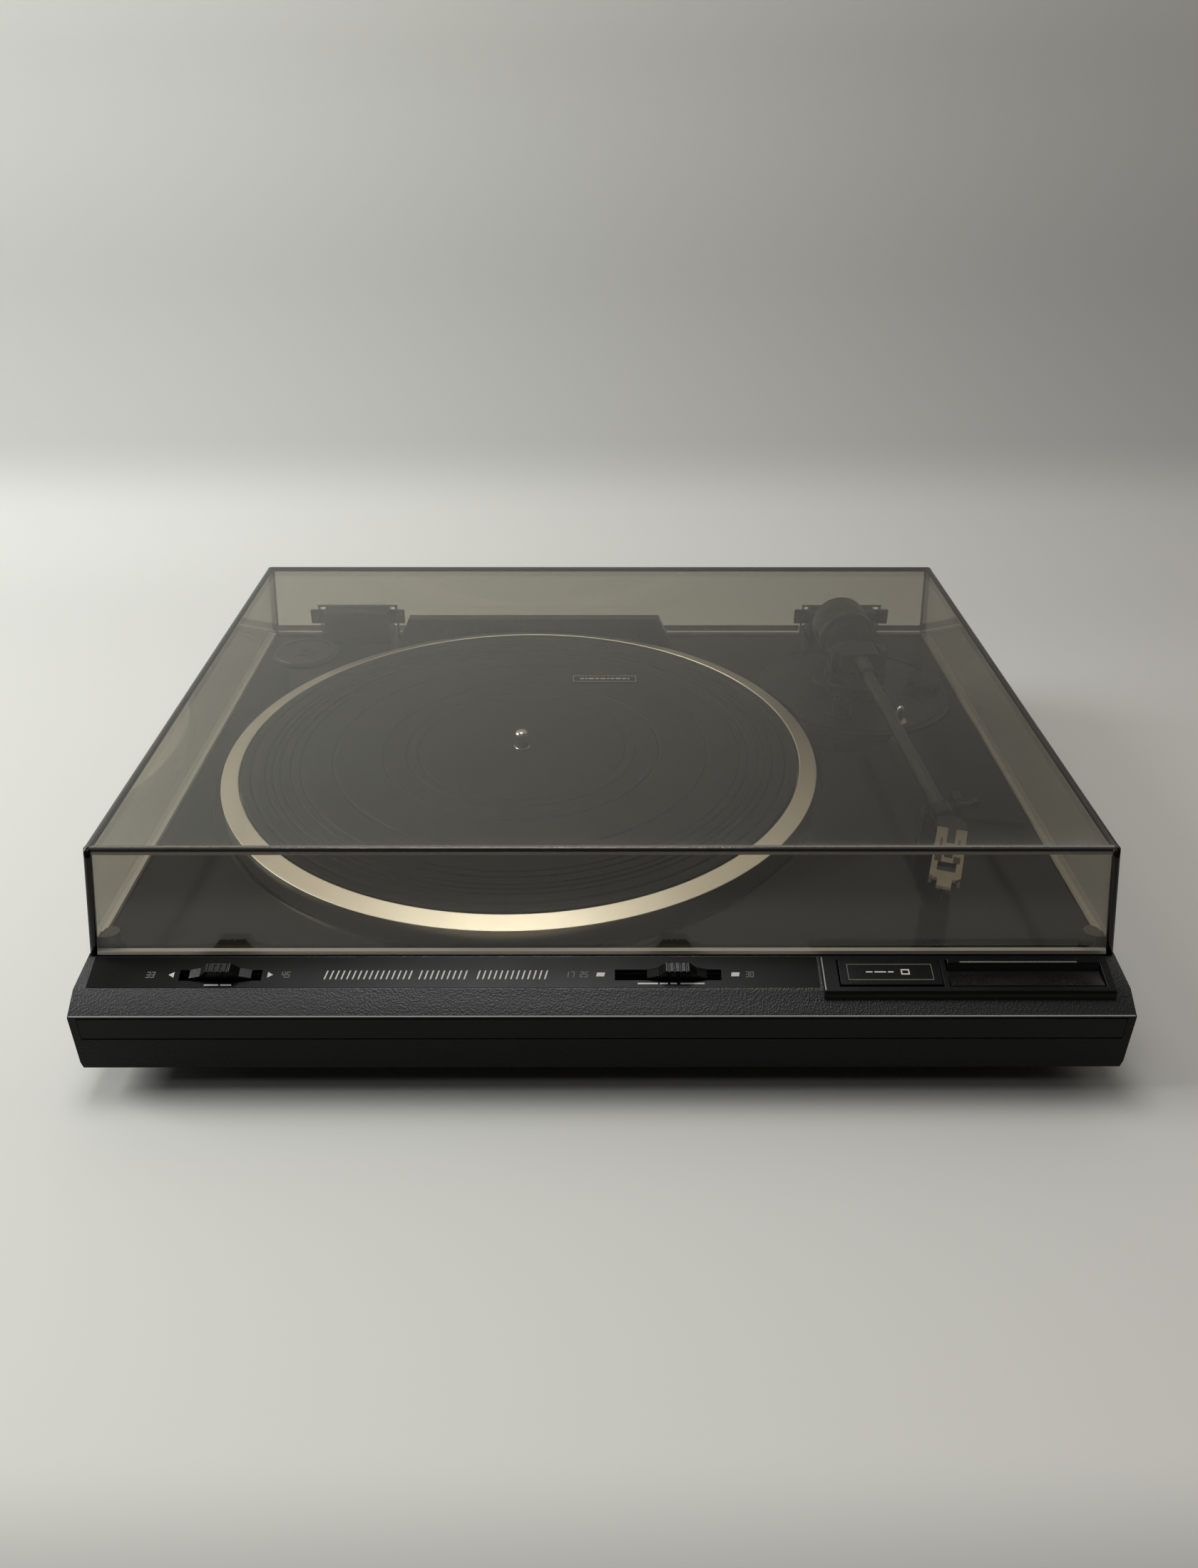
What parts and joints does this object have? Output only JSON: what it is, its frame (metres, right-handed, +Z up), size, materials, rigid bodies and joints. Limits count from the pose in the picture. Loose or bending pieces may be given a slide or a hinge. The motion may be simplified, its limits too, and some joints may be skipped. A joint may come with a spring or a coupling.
{
  "type": "record turntable",
  "caption": "Belt-drive record turntable with a smoked hinged dust cover, rubber-matted platter, straight offset-head tonearm, front slide switches and press keys.",
  "frame": {"origin": "on the surface it stands on, under the middle of the plinth", "axes": "+X to the right seen from the front, +Y to the rear, +Z up"},
  "size_m": [0.42, 0.36, 0.0988],
  "materials": {
    "plinth_plastic": "fine-grained charcoal moulding",
    "cover_plastic": "matt black moulded cover",
    "screw_steel": "zinc-plated",
    "foot_plastic": "matt black",
    "foot_rubber": "matt",
    "strip_gloss": "polished black",
    "panel_dark": "satin black with white legends",
    "trim_dark": "satin black",
    "bearing_brass": "turned",
    "gear_plastic": "natural acetal",
    "motor_steel": "satin plated can",
    "belt_rubber": "matt",
    "arm_plastic": "satin dark grey",
    "chrome_parts": "polished",
    "hinge_plastic": "satin black",
    "transformer_steel": "varnished laminations",
    "board_plastic": "phenolic board",
    "component_plastic": "satin",
    "platter_aluminium": "fine turned, warm tint",
    "mat_rubber": "matt with turned grooves",
    "plaque_plastic": "printed",
    "spindle_steel": "polished",
    "lid_plastic": "clear smoked, polished",
    "arm_dark_metal": "satin dark grey",
    "arm_tube_metal": "satin dark grey",
    "headshell_metal": "bright satin",
    "cartridge_plastic": "brown-black moulding",
    "stylus_plastic": "tinted moulding",
    "weight_metal": "satin black",
    "knob_plastic": "satin dark grey",
    "clip_plastic": "light grey",
    "adaptor_aluminium": "dark anodised"
  },
  "bodies": {
    "plinth": {"plinth_shell": "plinth_plastic", "bottom_cover": "cover_plastic", "plinth_screws": "screw_steel", "foot_front_left": "foot_plastic", "foot_front_right": "foot_plastic", "foot_rear_left": "foot_plastic", "foot_rear_right": "foot_plastic", "foot_pads": "foot_rubber", "front_strip": "strip_gloss", "control_panel": "panel_dark", "key_housing": "trim_dark", "spindle_bearing": "bearing_brass", "thrust_pad": "gear_plastic", "cam_post": "screw_steel", "motor": "motor_steel", "motor_bracket": "screw_steel", "drive_belt": "belt_rubber", "arm_base": "arm_plastic", "arm_pillar": "arm_plastic", "lifter_guide": "arm_plastic", "arm_rest": "arm_plastic", "arm_stop": "chrome_parts", "rear_cover": "arm_plastic", "hinge_bases": "hinge_plastic", "hinge_pins": "screw_steel", "transformer": "transformer_steel", "circuit_board": "board_plastic", "board_parts": "component_plastic", "cable_glands": "foot_rubber", "earth_post": "chrome_parts"},
    "platter": {"platter": "platter_aluminium", "platter_mat": "mat_rubber", "mat_plaque": "plaque_plastic", "spindle": "spindle_steel", "hub_pinion": "gear_plastic"},
    "pulley": {"motor_pulley": "bearing_brass", "motor_shaft": "spindle_steel"},
    "lid": {"lid": "lid_plastic", "hinge_leaves": "hinge_plastic", "leaf_screws": "screw_steel", "lid_bumpers": "foot_rubber"},
    "arm_yoke": {"arm_yoke": "arm_plastic"},
    "arm": {"gimbal_block": "arm_dark_metal", "arm_tube": "arm_tube_metal", "arm_stub": "arm_dark_metal", "head_collar": "arm_dark_metal", "headshell": "headshell_metal", "cartridge": "cartridge_plastic", "stylus": "stylus_plastic"},
    "counterweight": {"counterweight": "weight_metal"},
    "force_dial": {"force_dial": "weight_metal"},
    "lifter": {"lifter_bar": "arm_dark_metal"},
    "antiskate_knob": {"antiskate_knob": "arm_plastic"},
    "speed_slider": {"speed_slider": "knob_plastic"},
    "size_slider": {"size_slider": "knob_plastic"},
    "stop_key": {"stop_key": "knob_plastic"},
    "lift_key": {"lift_key": "knob_plastic"},
    "rest_clip": {"rest_clip": "clip_plastic"},
    "cam_gear": {"cam_gear": "gear_plastic"},
    "adaptor": {"adaptor_45": "adaptor_aluminium"}
  },
  "joints": [
    {"name": "platter_spin", "type": "hinge", "parent": "plinth", "child": "platter", "pos_m": [-0.0405, 0.0008, 0.05], "axis": [0, 0, -1], "continuous": true},
    {"name": "pulley_spin", "type": "hinge", "parent": "plinth", "child": "pulley", "pos_m": [-0.11121, 0.07151, 0.05], "axis": [0, 0, -1], "continuous": true},
    {"name": "lid_hinge", "type": "hinge", "parent": "plinth", "child": "lid", "pos_m": [0, 0.1714, 0.0564], "axis": [-1, 0, 0], "range_deg": [0, 60]},
    {"name": "tonearm_swing", "type": "hinge", "parent": "plinth", "child": "arm_yoke", "pos_m": [0.1455, 0.079, 0.075], "axis": [0, 0, -1], "range_deg": [0, 46]},
    {"name": "tonearm_lift", "type": "hinge", "parent": "arm_yoke", "child": "arm", "pos_m": [0.1455, 0.079, 0.075], "axis": [-0.9992, -0.0391, 0], "range_deg": [0, 3.5]},
    {"name": "counterweight_turn", "type": "hinge", "parent": "arm", "child": "counterweight", "pos_m": [0.1455, 0.079, 0.075], "axis": [-0.0391, 0.9992, 0], "continuous": true},
    {"name": "force_dial_turn", "type": "hinge", "parent": "arm", "child": "force_dial", "pos_m": [0.1455, 0.079, 0.075], "axis": [-0.0391, 0.9992, 0], "continuous": true},
    {"name": "lifter_rise", "type": "slide", "parent": "plinth", "child": "lifter", "axis": [0, 0, 1], "range_m": [0, 0.0022]},
    {"name": "antiskate_turn", "type": "hinge", "parent": "plinth", "child": "antiskate_knob", "pos_m": [0.1868, 0.0838, 0.056], "axis": [0, 0, -1], "range_deg": [0, 270]},
    {"name": "speed_slide", "type": "slide", "parent": "plinth", "child": "speed_slider", "axis": [1, 0, 0], "range_m": [-0.0042, 0.0028]},
    {"name": "size_slide", "type": "slide", "parent": "plinth", "child": "size_slider", "axis": [1, 0, 0], "range_m": [-0.0122, 0.0052]},
    {"name": "stop_key_press", "type": "slide", "parent": "plinth", "child": "stop_key", "axis": [0, 0, -1], "range_m": [0, 0.002], "stiffness_N_per_m": 600, "springref_m": -0.002},
    {"name": "lift_key_press", "type": "slide", "parent": "plinth", "child": "lift_key", "axis": [0, 0, -1], "range_m": [0, 0.0021]},
    {"name": "rest_clip_turn", "type": "hinge", "parent": "plinth", "child": "rest_clip", "pos_m": [0.1616, -0.073, 0.0745], "axis": [0, -1, 0], "range_deg": [0, 70]},
    {"name": "cam_gear_turn", "type": "hinge", "parent": "plinth", "child": "cam_gear", "pos_m": [-0.02131, -0.02207, 0.0475], "axis": [0, 0, 1], "range_deg": [-8, 8]},
    {"name": "adaptor_lift", "type": "slide", "parent": "plinth", "child": "adaptor", "axis": [0, 0, 1], "range_m": [0, 0.01]}
  ],
  "couplings": [
    {"joint": "pulley_spin", "follows": "platter_spin", "ratio": 9.8413},
    {"joint": "lifter_rise", "follows": "tonearm_lift", "m_per_rad": 0.034},
    {"joint": "lift_key_press", "follows": "tonearm_lift", "m_per_rad": 0.034}
  ]
}
